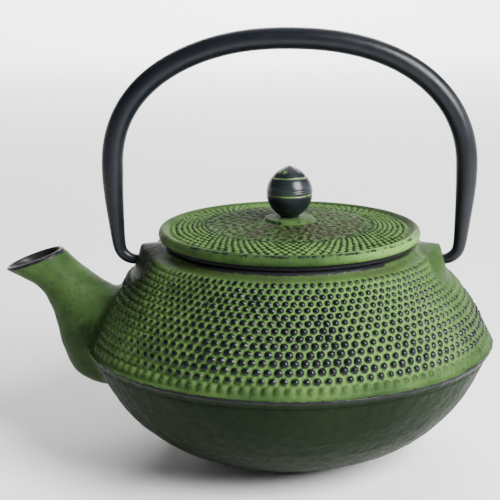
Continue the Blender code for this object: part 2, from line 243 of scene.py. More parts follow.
def make_piece(name, shell, materials, body, nodes, values=None, sharp_deg=None):
    """Turns a Shell into a smooth shaded object in metres that rides on a body and stands for nodes."""
    mesh = bpy.data.meshes.new(name)
    mesh.from_pydata((shell.all_points() * MM).tolist(), [], shell.faces)
    for material in materials:
        mesh.materials.append(material)
    mesh.polygons.foreach_set("material_index", np.array(shell.kinds, dtype=np.int32))
    for key, data in (values or {}).items():
        layer = mesh.attributes.new(key, "FLOAT", "POINT")
        layer.data.foreach_set("value", np.asarray(data, dtype=np.float32))
    mesh.validate()
    mesh.shade_smooth()
    if sharp_deg:
        mesh.set_sharp_from_angle(angle=math.radians(sharp_deg))
    piece = bpy.data.objects.new(name, mesh)
    bpy.context.scene.collection.objects.link(piece)
    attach(piece, body)
    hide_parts(*nodes)
    return piece


def turned(outline, columns):
    """Rows of points made by turning an outline of (radius, height) about the Z axis."""
    outline = np.asarray(outline, float)
    angles = TURN * np.arange(columns) / columns
    radius = outline[:, :1]
    height = np.broadcast_to(outline[:, 1:], (len(outline), columns))
    return np.stack([radius * np.cos(angles), radius * np.sin(angles), height], axis=-1)


# ---- hobnails ----
def nail_rows(line, start, end, count, step):
    """Distances along the line of rows that are a step apart, in nail pitches, which follow the radius."""
    lengths = path_lengths(line)
    rows = [start]
    while True:
        radius = np.interp(rows[-1], lengths, line[:, 0])
        following = rows[-1] + step * TURN * radius / count
        if following > end:
            return np.array(rows)
        rows.append(following)


def nail_field(length, angle, radius, rows, count, seed, oval, reach):
    """Domes in staggered rows: height from 0 to 1, nearness to the nail's middle, and the nail's row."""
    random = rng(seed)
    size = random.uniform(0.93, 1.07, (len(rows), count))
    lift = random.uniform(0.85, 1.1, (len(rows), count))
    slip = random.uniform(-0.035, 0.035, (2, len(rows), count))
    pitch = TURN * radius / count
    place = np.interp(length, rows, np.arange(len(rows)))
    height = np.zeros(np.shape(length))
    near = np.zeros(np.shape(length))
    owner = np.round(place)
    for offset in (0, 1):
        row = np.clip(np.floor(place).astype(int) + offset, 0, len(rows) - 1)
        turn = angle * count / TURN - 0.5 * (row % 2)
        nail = np.round(turn).astype(int)
        which = (row, nail % count)
        along = (turn - nail + slip[0][which]) * pitch
        across = (length - rows[row]) / oval + slip[1][which] * pitch
        distance = np.hypot(along, across) / (reach * pitch * size[which])
        dome = np.clip(1 - distance ** 2, 0, 1) ** 1.3 * lift[which]
        owner = np.where(dome > height, row, owner)
        near = np.maximum(near, 1 - distance)
        height = np.maximum(height, dome)
    return height, near, owner


# ---- distances to the pot's surfaces, negative inside ----
def blend_min(a, b, size):
    """The smaller of two distances, with the crease between them filled to the given size."""
    share = np.clip(size - np.abs(a - b), 0, None) / size
    return np.minimum(a, b) - share ** 2 * size / 4


def turned_distance(points, outline):
    """Signed distance to the surface of a solid turned from an outline that climbs steadily."""
    radius = np.hypot(points[:, 0], points[:, 1])
    height = points[:, 2]
    nearest = np.full(len(points), np.inf)
    for (r0, z0), (r1, z1) in zip(outline, outline[1:]):
        dr, dz = r1 - r0, z1 - z0
        share = np.clip(((radius - r0) * dr + (height - z0) * dz) / (dr * dr + dz * dz), 0, 1)
        nearest = np.minimum(nearest, np.hypot(radius - r0 - share * dr, height - z0 - share * dz))
    inside = radius < np.interp(height, outline[:, 1], outline[:, 0])
    return np.where(inside, -nearest, nearest)


def ear_distance(points, side):
    """Signed distance, nearly, to an ear: an oval lobe with a level crest that is round front to back."""
    down = EAR_TOP - points[:, 2]
    half = EAR_TOP_HALF + EAR_SLOPE * down
    x = points[:, 0] - side * EAR_CENTRE - EAR_SHIFT
    y = points[:, 1]
    share = (x / half) ** 2
    spread = EAR_DOME ** 2
    lobe = y ** 2 - spread * down * (1 - share)
    slope_x = spread * down * 2 * x / half ** 2
    slope_z = spread * (1 - share + 2 * down * share * EAR_SLOPE / half)
    lobe /= np.sqrt(4 * y ** 2 + slope_x ** 2 + slope_z ** 2) + TINY
    flank = (np.abs(x) - half) * math.cos(math.atan(EAR_SLOPE))
    return np.maximum(lobe, -blend_min(-flank, down, EAR_EDGE))


def ears_distance(points):
    """Signed distance, nearly, to the nearer ear."""
    return np.minimum(ear_distance(points, -1), ear_distance(points, 1))


# ---- the spout's surfaces ----
def spout_sections():
    """Close-set sections: centre, long axis, its half size, half width and the way along the spout."""
    rows = smooth_line([(*low, *high, half) for low, high, half in SPOUT], SPOUT_STEPS)
    low, high = rows[:, 0:2], rows[:, 2:4]
    centre = (low + high) / 2
    half_height = np.linalg.norm(high - low, axis=1) / 2
    across = (high - low) / (2 * half_height[:, None])
    along = np.stack([-across[:, 1], across[:, 0]], axis=1)
    return centre, across, half_height, rows[:, 4], along


def section_points(sections, wall=0.0):
    """The spout's surface as (section, side, xyz), and the way out from each point."""
    centre, across, half_height, half_width, _ = sections
    wall = np.broadcast_to(wall, half_width.shape)
    angles = TURN * np.arange(SPOUT_SIDES) / SPOUT_SIDES
    rise = (half_height - wall)[:, None] * np.sin(angles)
    side = -(half_width - wall)[:, None] * np.cos(angles)
    x = centre[:, :1] + across[:, :1] * rise
    z = centre[:, 1:] + across[:, 1:] * rise
    points = np.stack([x, side, z], axis=-1)
    out_rise = np.sin(angles) / (half_height - wall)[:, None]
    out_side = -np.cos(angles) / (half_width - wall)[:, None]
    scale = np.hypot(out_rise, out_side)
    out = np.stack([across[:, :1] * out_rise, out_side, across[:, 1:] * out_rise], axis=-1)
    return points, out / scale[..., None]


def spout_distance(points, sections):
    """Signed distance, nearly, from points to the spout's outside."""
    centre, across, half_height, half_width, along = sections
    flat = points[:, [0, 2]]
    ahead = [np.sum((flat - c) * a, axis=1) for c, a in zip(centre, along)]
    best = np.full(len(points), np.inf)
    found = np.full(len(points), np.inf)
    last = len(centre) - 1
    for k in range(last):
        share = ahead[k] / (ahead[k] - ahead[k + 1] + 1e-12)
        here = (ahead[k] >= 0) & (ahead[k + 1] < 0)
        if k == 0:
            here |= ahead[0] < 0
            share = np.where(ahead[0] < 0, 0.0, share)
        if k == last - 1:
            here |= ahead[last] >= 0
            share = np.where(ahead[last] >= 0, 1.0, share)
        wide_share = share[:, None]
        middle = centre[k] * (1 - wide_share) + centre[k + 1] * wide_share
        axis = across[k] * (1 - wide_share) + across[k + 1] * wide_share
        tall = half_height[k] * (1 - share) + half_height[k + 1] * share
        wide = half_width[k] * (1 - share) + half_width[k + 1] * share
        rise = np.sum((flat - middle) * axis, axis=1)
        reach = np.hypot(rise, points[:, 1])
        ratio = np.hypot(rise / tall, points[:, 1] / wide) + 1e-9
        nearer = here & (reach < best)
        best = np.where(nearer, reach, best)
        found = np.where(nearer, (ratio - 1) * reach / ratio, found)
    return found


def settle(points, distance):
    """Moves points onto the surface where a distance is zero, down its slope."""
    nudge = 0.05
    for _ in range(FILLET_PASSES):
        value = distance(points)
        slope = np.stack([(distance(points + nudge * axis) - value) / nudge for axis in np.eye(3)], axis=1)
        length = np.sum(slope ** 2, axis=1) + TINY
        points = points - slope * (value / length)[:, None]
    return points


def spout_outside(sections, outline):
    """Rows of points from the root's foot up to the lip, each column running along the spout."""
    points, out = section_points(sections)
    marks = np.arange(len(points), dtype=float)
    depth = turned_distance(points.reshape(-1, 3), outline).reshape(len(points), SPOUT_SIDES)
    share = np.linspace(0, 1, FILLET_ROWS + 1)
    fillet = np.zeros((FILLET_ROWS + 1, SPOUT_SIDES, 3))
    tube = np.zeros((SPOUT_ROWS, SPOUT_SIDES, 3))
    for side in range(SPOUT_SIDES):
        first = int(np.flatnonzero(depth[:, side] < 0)[-1])
        climb = np.maximum.accumulate(depth[first:, side])
        where = np.interp(SPOUT_FILLET * share ** 2, climb, marks[first:])
        swell = SPOUT_FILLET * (1 - share) ** 2
        fillet[:, side] = table_at(where, marks, points[:, side])
        fillet[:, side] += table_at(where, marks, out[:, side]) * swell[:, None]
        rest = np.linspace(where[-1], marks[-1], SPOUT_ROWS + 1)[1:]
        tube[:, side] = table_at(rest, marks, points[:, side])

    def blended(cloud):
        return blend_min(turned_distance(cloud, outline), spout_distance(cloud, sections), SPOUT_FILLET)

    return np.vstack([settle(fillet.reshape(-1, 3), blended).reshape(fillet.shape), tube])


def spout_lip(outer, out, along):
    """The rounded edge of the mouth, from the outside over towards the passage."""
    half = SPOUT_LIP_WALL / 2
    turns = np.radians(np.linspace(0, 180, LIP_STEPS + 1))[1:-1]
    return np.array([outer - out * half * (1 - math.cos(a)) + along * half * math.sin(a) for a in turns])


def lip_wear(outside):
    """Where the paint has gone below the lip: a line at its low tip and a wider band at its upper end."""
    turn = np.sin(TURN * np.arange(SPOUT_SIDES) / SPOUT_SIDES)
    band = 0.12 + 0.7 * smooth_step(-0.6, 0.9, turn)
    to_lip = np.linalg.norm(np.diff(outside[::-1], axis=0), axis=2).cumsum(axis=0)[::-1]
    return smooth_step(1.5, 0.5, to_lip / band)


def make_spout(sections, outline, iron, enamel):
    """The spout as one closed wall: outside with its root's fillet, the lip, the passage and the foot."""
    outside = spout_outside(sections, outline)
    inward = -outside[0] / np.hypot(outside[0, :, 0], outside[0, :, 1])[:, None]
    inward[:, 2] = -0.4
    foot = outside[0] + inward * SPOUT_FOOT
    along = np.array([sections[4][-1][0], 0.0, sections[4][-1][1]])
    lip = spout_lip(outside[-1], section_points(sections)[1][-1], along)
    cloud = outside.reshape(-1, 3)
    rough = np.stack([ripple(cloud, 3.0, seed) for seed in (51, 52, 53)], axis=1) * 0.05
    outside = (cloud + rough).reshape(outside.shape)
    count = len(sections[0])
    passage, _ = section_points(sections, np.linspace(SPOUT_ROOT_WALL, SPOUT_LIP_WALL, count))
    inner = passage[np.linspace(count - 1, count * PASSAGE_END, PASSAGE_ROWS).astype(int)]
    shell = Shell()
    numbers = shell.add(np.concatenate([foot[None], outside, lip, inner]))
    edge = 1 + len(outside) + len(lip)
    shell.grid(numbers[:edge])
    shell.grid(numbers[edge - 1:], kind=1)
    shell.grid(numbers[[-1, 0]], kind=1)
    bare = np.zeros(numbers.shape)
    bare[1:len(outside)] = lip_wear(outside)
    bare[len(outside):edge] = 1.0
    values = {"bare": bare.ravel(), "shade": spout_shade(shell.all_points())}
    return make_piece("pot_spout", shell, [iron, enamel], "pot", ["pot_body"], values)


def spout_shade(points):
    """Darker low on the spout, and darker paint in a rough patch on either flank."""
    flank = np.linalg.norm(np.abs(points) - SPOUT_PATCH, axis=1)
    patch = 0.4 * np.exp(-(flank / 5.0) ** 2) * (1 + 0.6 * ripple(points, 1.6, 54))
    return np.clip(0.35 + 0.3 * smooth_step(60.0, 34.0, points[:, 2]) + patch, 0, 1)


# ---- the pot ----
def row_marks(rows, total, each, spacing):
    """Distances for the mesh's rows: a fixed number from one nail row to the next, and even beyond them."""
    before = np.linspace(0, rows[0], max(2, round(rows[0] / spacing)), endpoint=False)
    between = [np.linspace(a, b, each, endpoint=False) for a, b in zip(rows, rows[1:])]
    after = np.linspace(rows[-1], total, max(2, round((total - rows[-1]) / spacing)))
    return np.concatenate([before, *between, after])


def line_normals(line):
    """Unit normals on the right hand side of a line's direction of travel."""
    travel = np.gradient(line, axis=0)
    travel /= np.linalg.norm(travel, axis=1)[:, None]
    return np.stack([travel[:, 1], -travel[:, 0]], axis=1)


def raise_ears(points, outline):
    """Lifts the shoulder's points onto the ears, with a fillet where an ear leaves the shoulder."""
    flat = points.reshape(-1, 3).copy()
    for side in (-1, 1):
        near = np.flatnonzero((ear_distance(flat, side) < EAR_FILLET) & (flat[:, 2] > EAR_LOW_Z))
        lift = np.array([side * EAR_LIFT[0], 0.0, EAR_LIFT[1]])
        cloud = flat[near]
        for _ in range(EAR_PASSES):
            body = turned_distance(cloud, outline)
            value = blend_min(body, ear_distance(cloud, side), EAR_FILLET)
            cloud = cloud - lift * np.minimum(value, 0)[:, None]
        flat[near] = cloud
    return flat.reshape(points.shape)


def sink_ear_holes(flat):
    """Presses the blind holes for the bail's ends into the outer sides of the ears."""
    flat = flat.copy()
    for side in (-1, 1):
        aside = flat[:, 1:] - [0.0, BAIL_AXIS_Z]
        reach = np.linalg.norm(aside, axis=1)
        outside = flat[:, 0] * side > EAR_HOLE_END
        within = outside & (reach < EAR_HOLE_RADIUS)
        snap = outside & (reach < EAR_HOLE_RADIUS + 0.5) & (reach > EAR_HOLE_RADIUS - 0.6)
        wall = np.where(within, EAR_HOLE_RADIUS - 0.1, EAR_HOLE_RADIUS + 0.05)
        scale = np.where(snap, wall / np.maximum(reach, 0.1), 1.0)
        flat[:, 1:] = [0.0, BAIL_AXIS_Z] + aside * scale[:, None]
        flat[within, 0] = side * EAR_HOLE_END
    return flat


def nail_wear(owner, rows):
    """How far the tops of each row are rubbed: the highest rows less, the lowest two hardly at all."""
    last = len(rows) - 1
    places = [0, 1, 2, 4, last - 2, last - 1, last]
    wear = [0.6, 0.72, 0.86, 1.0, 1.0, 0.75, 0.35]
    return np.interp(owner, places, wear)


def pot_climb():
    """The outside from the bowl's edge up to the rim, and the point on it where the nails' mesh starts."""
    climb = smooth_line([*RIDGE, *SHOULDER, *NECK])
    return climb, int(np.argmax(climb[:, 1] > RIDGE_EDGE_Z))


def nailed_shoulder(sections, outline):
    """The grid of points from the ridge up to the rim, how far each of them is rubbed, and the painted
    light that makes the valleys between the nails pale.
    """
    climb, split = pot_climb()
    upper = climb[split:][::-1]
    lengths = path_lengths(upper)
    start, end = np.interp([-NAIL_TOP_Z, -NAIL_LOW_Z], -upper[:, 1], lengths)
    rows = nail_rows(upper, start, end, NAILS, NAIL_ROW)
    marks = row_marks(rows, lengths[-1], NAIL_STEPS, 0.6)[::-1]
    line = points_at(upper, marks)
    grid = raise_ears(turned(line, FINE), outline)
    flat = grid.reshape(-1, 3)
    angle = np.tile(TURN * np.arange(FINE) / FINE, len(line))
    radius = np.repeat(line[:, 0], FINE)
    height, near, owner = nail_field(np.repeat(marks, FINE), angle, radius, rows, NAILS, NAIL_SEED,
                                     NAIL_ROW / HEX_ROW, NAIL_RADIUS)
    fade = smooth_step(3.5, 7.0, spout_distance(flat, sections))
    fade *= smooth_step(0.3, 1.7, ears_distance(flat))
    size, depth = BUMPS
    push = height * fade * NAIL_HEIGHT * TURN * radius / NAILS + ripple(flat, size, 5) * depth
    normal = np.repeat(line_normals(line), FINE, axis=0)
    outward = np.stack([normal[:, 0] * np.cos(angle), normal[:, 0] * np.sin(angle), normal[:, 1]], axis=1)
    flat = sink_ear_holes(flat + outward * push[:, None])

    from_spout = np.abs(angle - math.pi)
    worn = 0.62 + 0.38 * smooth_step(0.4, 1.25, from_spout) + 0.1 * smooth_step(1.2, 2.3, from_spout)
    worn *= 0.55 + 0.45 * smooth_step(2.0, 9.0, ears_distance(flat))
    # painted light: paler green in the valleys between nails, stronger on the right where the key light
    # falls
    valley_light = smooth_step(0.45, 0.05, near) * (0.5 + 0.45 * smooth_step(1.0, 2.2, from_spout))
    valley_light *= 1 - 0.45 * smooth_step(2.0, 2.9, from_spout)
    pale = valley_light * fade * smooth_step(50.5, 54.0, flat[:, 2])
    return flat.reshape(grid.shape), near * nail_wear(owner, rows) * fade * worn, pale


def bowl_and_ridge():
    """The grid of points from the base up to the ridge, a little uneven above the base."""
    climb, split = pot_climb()
    ridge = even_line(climb[:split + 1], 0.4)
    grid = turned([*even_line(smooth_line(BOWL), 1.35), *ridge], MIDDLE)
    flat = grid.reshape(-1, 3)
    swell = sum(ripple(flat, size, seed) for size, seed in SWELLS) * SWELL_HEIGHT
    outward = flat * [1, 1, 0] / np.hypot(flat[:, 0], flat[:, 1])[:, None]
    flat = flat + outward * (swell * smooth_step(0.5, 6.0, flat[:, 2]))[:, None]
    return flat.reshape(grid.shape)


def make_pot(sections, outline, iron, enamel):
    """The casting but for its spout: base, bowl, ridge, hobnail shoulder, ears, rim and inside."""
    upper, rub, pale = nailed_shoulder(sections, outline)
    shell = Shell()
    bottom = shell.add(turned([(BASE_RADIUS, 0.0)], MIDDLE))
    low = shell.add(bowl_and_ridge())
    fine = shell.add(upper)
    shell.close(bottom[0], (0, 0, 0), end=False)
    shell.grid(np.vstack([bottom, low]))
    shell.stitch(low[-1], fine[0])
    shell.grid(fine)
    inside = shell.add(turned([*RIM, *inner_line()], COARSE))
    shell.stitch(fine[-1], inside[0])
    shell.grid(inside[:2])
    shell.grid(inside[1:], kind=1)
    shell.close(inside[-1], (0, 0, WALL), kind=1)
    points = shell.all_points()
    values = {key: np.zeros(len(points)) for key in ("rub", "pale")}
    values["rub"][fine.ravel()] = rub
    # pale: painted light between the nails
    values["pale"][fine.ravel()] = pale
    off_ears = smooth_step(0.3, 2.5, ears_distance(points))
    # shade: painted shade on the bowl, neck and ears, with some deeper paint
    values["shade"] = pot_painted_shade(points, off_ears)
    # bare: worn iron on the ridge and rim, plus painted shade in the gap under the lid
    values["bare"] = np.maximum(ridge_wear(points), rim_wear_and_gap_shade(points))
    values["wash"] = smooth_step(82.8, 85.2, points[:, 2]) * 0.6 * off_ears
    return make_piece("pot_casting", shell, [iron, enamel], "pot", ["pot_body"], values)


def inner_line():
    """The inside of the wall, from under the ledge down to the flat bottom."""
    outer = smooth_line([*BOWL[1:], *SHOULDER[:-1]])
    inner = even_line(outer - line_normals(outer) * WALL, 3.0)
    inner = inner[(inner[:, 1] > WALL + 0.8) & (inner[:, 1] < LEDGE_BOTTOM - 1.5)]
    return np.vstack([inner[::-1], [(BASE_RADIUS - 3.0, WALL)]])


def pot_painted_shade(points, off_ears):
    """Painted shade, with some deeper paint: darker on the bowl, in the groove over it, on the neck under
    the lid and on the ears than on the shoulder, darkest on the left ear, away from the key light.
    """
    low = 0.88 * smooth_step(49.5, 46.5, points[:, 2])
    neck = 0.62 * smooth_step(83.0, 85.0, points[:, 2]) * off_ears
    ears = 0.35 * (1 - off_ears) * smooth_step(60.0, 66.0, points[:, 2])
    left_ear = 0.85 * smooth_step(9.0, 1.0, ear_distance(points, -1))
    left_ear *= smooth_step(60.0, 70.0, points[:, 2])
    return np.clip(0.06 + low + np.maximum.reduce([neck, ears, left_ear]), 0, 1)


def ridge_wear(points):
    """The band below the ridge's edge where the paint has gone."""
    radius = np.hypot(points[:, 0], points[:, 1])
    band = smooth_step(47.2, 47.5, points[:, 2]) * smooth_step(48.6, 48.2, points[:, 2])
    left = 0.4 + 0.6 * smooth_step(-78.0, -45.0, points[:, 0])
    return band * left * (radius > 80)


def rim_wear_and_gap_shade(points):
    """The casting's upper edge, worn bright and dark by the lid, and darkened further as painted shade in
    the gap under the lid.
    """
    radius = np.hypot(points[:, 0], points[:, 1])
    between_ears = smooth_step(42.0, 32.0, np.abs(points[:, 0]))
    return smooth_step(85.7, 86.3, points[:, 2]) * smooth_step(53.2, 52.4, radius) * between_ears


# ---- the lid ----
LID_NAILS = 88  # nails in each of the lid's rings
LID_NAIL_RADIUS = 0.55
LID_NAIL_HEIGHT = 0.36
LID_NAIL_SEED = 21
LID_FINE = LID_NAILS * 6  # mesh columns where the nails are
LID_ROW = 0.69  # distance between the rings, in nail pitches
LID_RINGS_FROM = 46.7  # radius of the outermost ring
LID_RINGS_TO = 32.6
GRAIN_RADIUS = 33.0  # the rough middle starts here
GRAIN_FINE_TO = 20.0  # it has half as many mesh columns within this radius
GRAIN_HEIGHT = 0.55
GRAIN_SEED = 31
GRAIN_STEP = 0.42
LID_UNDER = [(2.3, 90.2), (7.0, 90.2), (12.0, 91.2), (25.0, 90.6), (33.6, 89.4), (34.2, 88.8),
             (34.2, 80.7), (34.6, 80.2), (36.6, 80.2), (37.0, 80.6), (37.0, 86.8), (37.3, 87.1),
             (49.4, 87.1)]
LID_SIDE = [(49.8, 87.4), (49.8, 88.5), (50.1, 88.9), (50.8, 89.15), (51.6, 89.5), (52.1, 90.0),
            (52.45, 90.8), (52.5, 91.5), (52.4, 92.2), (52.1, 92.85), (51.5, 93.4), (50.8, 93.6)]
LID_RIM = [(50.8, 93.6), (50.1, 93.45), (49.4, 93.1), (48.8, 92.7), (48.3, 92.35)]
LID_FIELD = [(48.3, 92.35), (46.9, 92.3), (44.0, 92.6), (38.0, 93.4), (30.0, 94.4), (20.0, 95.3),
             (11.0, 95.8)]
LID_BOSS = [(10.4, 95.85), (10.0, 96.1), (9.85, 96.7), (9.6, 97.05), (9.0, 97.2), (2.3, 97.2)]


def grain(points):
    """The lumps of the lid's rough middle, 0 to 1: two sizes of random field, sharpened."""
    coarse = ripple(points, 1.4, GRAIN_SEED)
    fine = ripple(points, 0.75, GRAIN_SEED + 1)
    return smooth_step(-0.9, 0.9, coarse * 0.8 + fine * 0.45)


def lid_rings(field):
    """The grid of points of the lid's field, and for each point its angle, nail and lump heights."""
    start, end = LID_FIELD[0][0] - LID_RINGS_FROM, LID_FIELD[0][0] - LID_RINGS_TO
    rows = nail_rows(field, start, end, LID_NAILS, LID_ROW)
    marks = row_marks(rows, path_lengths(field)[-1], NAIL_STEPS, 0.5)
    line = points_at(field, marks)
    grid = turned(line, LID_FINE)
    flat = grid.reshape(-1, 3)
    angle = np.tile(TURN * np.arange(LID_FINE) / LID_FINE, len(line))
    radius = np.repeat(line[:, 0], LID_FINE)
    height, _, owner = nail_field(np.repeat(marks, LID_FINE), angle, radius, rows, LID_NAILS,
                                  LID_NAIL_SEED, LID_ROW / HEX_ROW, LID_NAIL_RADIUS)
    height *= np.interp(owner, [0, 1, len(rows) - 3, len(rows) - 1], [0.9, 1.0, 0.9, 0.6])
    lumps = grain(flat) * smooth_step(GRAIN_RADIUS + 1.5, GRAIN_RADIUS - 1.0, radius)
    nails = height * smooth_step(GRAIN_RADIUS - 1.5, GRAIN_RADIUS + 0.5, radius)
    rise = np.maximum(nails * LID_NAIL_HEIGHT * TURN * radius / LID_NAILS, lumps * GRAIN_HEIGHT)
    flat = flat + UP * rise[:, None]
    return flat.reshape(grid.shape), angle, nails, lumps


def rough_middle(line, columns):
    """A part of the lid's rough middle, lower by the boss, as a grid of points, and its lumps."""
    grid = turned(line, columns)
    flat = grid.reshape(-1, 3)
    lumps = grain(flat)
    by_boss = smooth_step(12.0, 10.6, np.hypot(flat[:, 0], flat[:, 1]))
    flat = flat + UP * (lumps * GRAIN_HEIGHT * (1 - 0.7 * by_boss))[:, None]
    return flat.reshape(grid.shape), lumps


def lid_boss():
    """The boss that the knob stands on, with an uneven edge."""
    grid = turned(even_line(LID_BOSS, 0.5), LID_FINE // 2)
    swell = 1 + 0.012 * ripple(grid.reshape(-1, 3), 2.4, 33).reshape(grid.shape[:2])
    at_edge = np.hypot(grid[..., 0], grid[..., 1]) > 6.0
    grid[..., :2] *= np.where(at_edge, swell, 1.0)[..., None]
    return grid


def lid_bare_and_shade(points, distance):
    """Bare iron at the edge of the rim but for its left; painted shade in the gap over the pot; round the
    boss's foot, bare iron and painted shade.
    """
    edge = smooth_step(51.3, 51.6, distance) * smooth_step(92.55, 92.8, points[:, 2])
    edge *= 0.2 + 0.8 * smooth_step(-46.0, -34.0, points[:, 0])
    # painted shade: the lid's skirt in the gap over the pot drawn as dark iron
    gap = smooth_step(89.2, 88.8, points[:, 2])
    # partly bare iron, partly painted shade in the corner at the boss's foot
    foot = np.exp(-((distance - 9.9) / 0.9) ** 2) * (0.45 + 0.3 * ripple(points, 4.0, 34))
    return np.maximum.reduce([edge * 0.55, gap, foot * on_lid_top(points)])


def lid_wash(points, distance, turn):
    """Brown stains: the rough middle, and the rim at its far left and right."""
    middle = smooth_step(33.0, 27.0, distance) * smooth_step(10.3, 12.0, distance) * on_lid_top(points)
    left = smooth_step(0.6, 0.2, np.abs(turn + math.pi - 0.3))
    right = smooth_step(0.45, 0.1, np.abs(turn - 0.05))
    return np.maximum(middle, smooth_step(46.5, 50.5, distance) * np.maximum(left, right))


def on_lid_top(points):
    return points[:, 2] > 92.2


def make_lid(iron, enamel):
    """The lid: a skirt below, a rounded rim, a dish with rings of nails, a rough middle and a boss."""
    line = even_line(smooth_line(LID_FIELD), 0.05)
    cut = int(np.argmax(line[:, 0] < GRAIN_RADIUS - 3.0))
    field, angle, nails, lumps = lid_rings(line[:cut + 1])
    middle = line[cut:]
    far = even_line(middle[middle[:, 0] > GRAIN_FINE_TO], GRAIN_STEP)[1:]
    outer, outer_lumps = rough_middle(far, LID_FINE)
    close = even_line(middle[middle[:, 0] <= GRAIN_FINE_TO], GRAIN_STEP)
    inner, inner_lumps = rough_middle(close, LID_FINE // 2)
    lip = even_line(smooth_line(LID_RIM, 5), 0.4)[1:-1]
    rim = np.vstack([even_line(smooth_line(LID_SIDE, 5), 0.4), lip])

    shell = Shell()
    under = shell.add(turned(LID_UNDER, COARSE))
    side = shell.add(turned(rim, LID_FINE // 2))
    fine = shell.add(field)
    first = shell.add(outer)
    second = shell.add(inner)
    boss = shell.add(lid_boss())
    shell.grid(under, kind=1)
    shell.stitch(under[-1], side[0], kind=1)
    shell.grid(side)
    shell.stitch(side[-1], fine[0])
    shell.grid(np.vstack([fine, first]))
    shell.stitch(first[-1], second[0])
    shell.grid(np.vstack([second, boss]))
    shell.stitch(boss[-1], under[0])

    points = shell.all_points()
    distance = np.hypot(points[:, 0], points[:, 1])
    turn = np.arctan2(points[:, 1], points[:, 0])
    # painted shade in the hollows between the lid's nails and lumps
    hollow_shade = np.zeros(len(points))
    in_field = smooth_step(48.2, 47.2, distance[fine.ravel()])
    hollow_shade[fine.ravel()] = (1 - np.maximum(nails, lumps)) * in_field
    hollow_shade[first.ravel()] = 1 - outer_lumps
    hollow_shade[second.ravel()] = 1 - inner_lumps
    # pale: painted light on the rim's right front where the key light falls, and on the tops of the field's
    # nails, less at far left and right
    pale = smooth_step(49.5, 50.5, distance) * smooth_step(-1.4, -0.7, turn) * smooth_step(0.3, -0.2, turn)
    pale[fine.ravel()] = smooth_step(0.35, 0.8, nails) * (0.8 - 0.35 * np.cos(angle) ** 2)
    values = {"hollow_shade": hollow_shade, "pale": pale, "bare": lid_bare_and_shade(points, distance),
              "wash": lid_wash(points, distance, turn), "shade": np.full(len(points), 0.1)}
    return make_piece("lid_casting", shell, [iron, enamel], "lid", ["lid"], values)


# ---- the knob, its screw and washer ----
KNOB_SIDES = 96
KNOB_OUTLINE = [(3.9, 97.35), (4.0, 98.0), (5.6, 99.2), (6.5, 100.1), (7.7, 101.8), (8.7, 104.0),
                (9.15, 106.0), (9.25, 107.9), (8.85, 110.2), (7.9, 112.3), (6.95, 113.6), (6.3, 114.3),
                (5.0, 115.6), (2.8, 117.0), (0.0, 118.2)]
# The knob's grooves: height, half width, depth and how much green is left in them.
KNOB_GROOVES = [(100.5, 0.22, 0.10, 0.35), (107.0, 0.34, 0.30, 1.0), (108.4, 0.2, 0.12, 0.2),
                (109.1, 0.2, 0.12, 0.2), (113.7, 0.30, 0.2, 0.9)]
KNOB_DAB = (-1.2, -3.6, 115.9)  # a dab of green left near the top
KNOB_DAB_SIZE = 1.5
KNOB_BORE = [(2.3, 108.0), (2.3, 97.35)]
SCREW_SIDES = 48
SCREW_HEAD = [(2.4, 86.05), (3.2, 86.35), (3.75, 86.95), (3.9, 87.6), (3.9, 88.45), (3.75, 88.6),
              (2.0, 88.6)]
SCREW_SHANK = [(2.0, 88.6), (2.0, 106.8), (1.4, 107.7)]
THREAD_FROM = 95.0
THREAD_PITCH = 0.8
THREAD_DEPTH = 0.12
RECESS_RADIUS = 1.9
RECESS = [(1.0, 86.05), (0.82, 86.9), (0.45, 87.6)]  # share of that radius, and height
RECESS_END = 87.7
WASHER = [(2.3, 89.0), (2.4, 88.9), (4.85, 88.9), (5.0, 89.05), (5.0, 89.75), (4.85, 89.9),
          (2.4, 89.9), (2.3, 89.8)]
STEEL_SHARP_DEG = 35


def by_grooves(line, column):
    """A value that KNOB_GROOVES gives for each groove, fading away above and below it."""
    return np.max([groove[column] * np.exp(-((line[:, 1] - groove[0]) / groove[1]) ** 2)
                   for groove in KNOB_GROOVES], axis=0)


def make_knob(lacquer):
    """A turned knob with paint left in its grooves."""
    line = even_line(smooth_line(KNOB_OUTLINE), 0.14)[:-1]
    line = line - line_normals(line) * by_grooves(line, 2)[:, None]
    green = by_grooves(line, 3)
    shell = Shell()
    bore = shell.add(turned(KNOB_BORE, KNOB_SIDES))
    outside = shell.add(turned(line, KNOB_SIDES))
    shell.close(bore[0], (0, 0, KNOB_BORE[0][1]), end=False)
    shell.grid(np.vstack([bore, outside]))
    shell.close(outside[-1], (0, 0, KNOB_OUTLINE[-1][1]))
    dab = np.linalg.norm(shell.all_points()[outside.ravel()] - KNOB_DAB, axis=1)
    dab = 0.55 * np.exp(-(dab / KNOB_DAB_SIZE) ** 2)
    paint = np.zeros(shell.count)
    paint[outside.ravel()] = np.maximum(np.repeat(green, KNOB_SIDES), dab)
    return make_piece("knob_turned", shell, [lacquer], "lid", ["lid_knob"], {"paint": paint})


